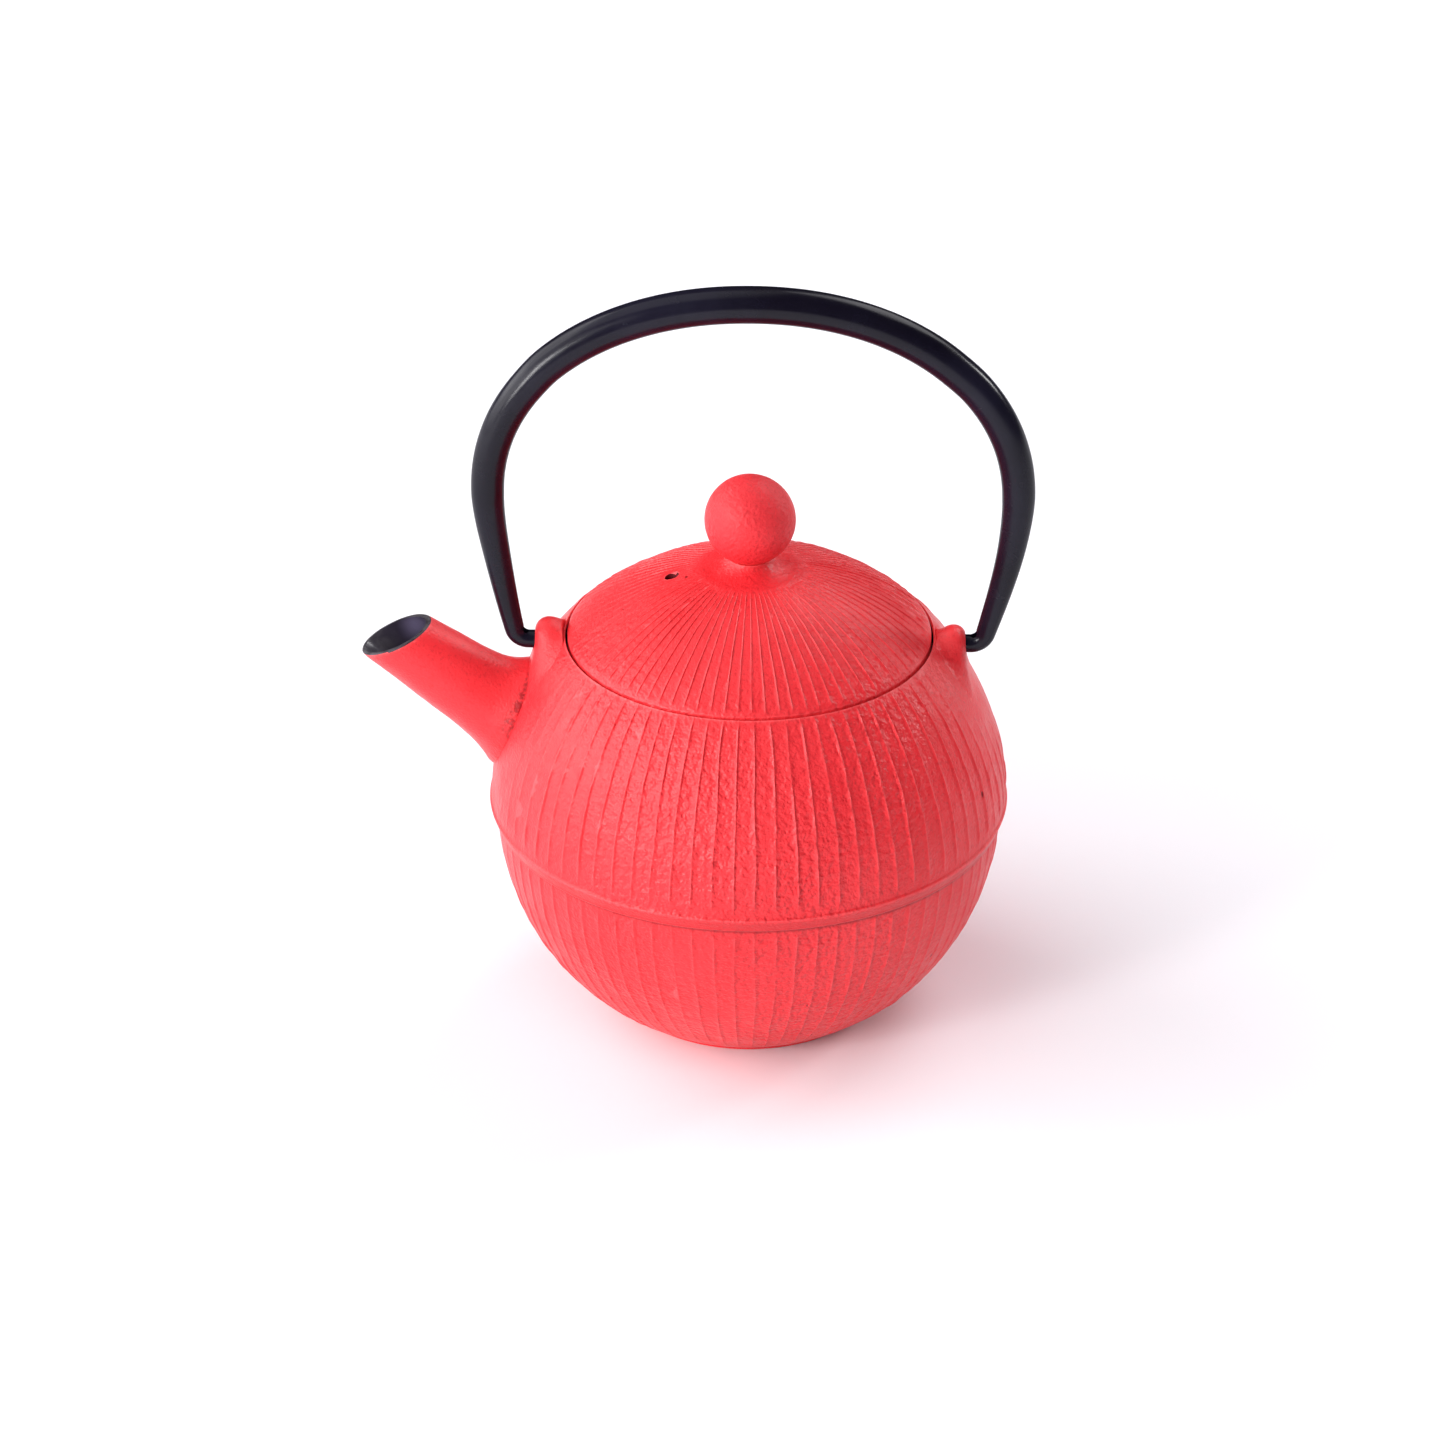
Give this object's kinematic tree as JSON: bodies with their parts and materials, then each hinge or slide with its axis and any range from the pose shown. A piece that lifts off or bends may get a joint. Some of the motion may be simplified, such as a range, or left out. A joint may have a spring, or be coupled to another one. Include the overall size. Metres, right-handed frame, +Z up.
{
  "type": "cast iron teapot",
  "caption": "Round ribbed cast iron teapot with a short spout, a domed lid with a ball knob, a swinging bail handle and a lift-out strainer.",
  "frame": {"origin": "centre of the foot's resting face, on the table", "axes": "+Z up; the spout points along -X; the bail's hinge axis is parallel to X"},
  "size_m": [0.143, 0.1126, 0.1681],
  "materials": {
    "red_paint": "satin coral-red coating over ribbed cast iron; black enamel inside",
    "red_knob": "satin coral-red coating over a turned ball",
    "black_bail": "semi-gloss black coating over rolled steel sheet",
    "strainer_steel": "pressed stainless steel",
    "gauze_steel": "woven stainless steel wire",
    "fixing_steel": "plain stainless steel"
  },
  "bodies": {
    "pot": {"pot_body": "red_paint"},
    "strainer": {"strainer_collar": "strainer_steel", "strainer_gauze_wall": "gauze_steel", "strainer_gauze_floor": "gauze_steel", "strainer_bottom_ring": "strainer_steel"},
    "lid": {"lid_casting": "red_paint", "lid_knob": "red_knob", "knob_washer": "fixing_steel", "knob_screw": "fixing_steel"},
    "bail": {"bail_handle": "black_bail"}
  },
  "joints": [
    {"name": "bail_swing", "type": "hinge", "parent": "pot", "child": "bail", "pos_m": [0, 0, 0.0857], "axis": [1, 0, 0], "range_deg": [-127, 127]},
    {"name": "strainer_lift", "type": "slide", "parent": "pot", "child": "strainer", "axis": [0, 0, 1], "range_m": [0, 0.013]},
    {"name": "lid_lift", "type": "slide", "parent": "strainer", "child": "lid", "axis": [0, 0, 1], "range_m": [0, 0.02]}
  ]
}
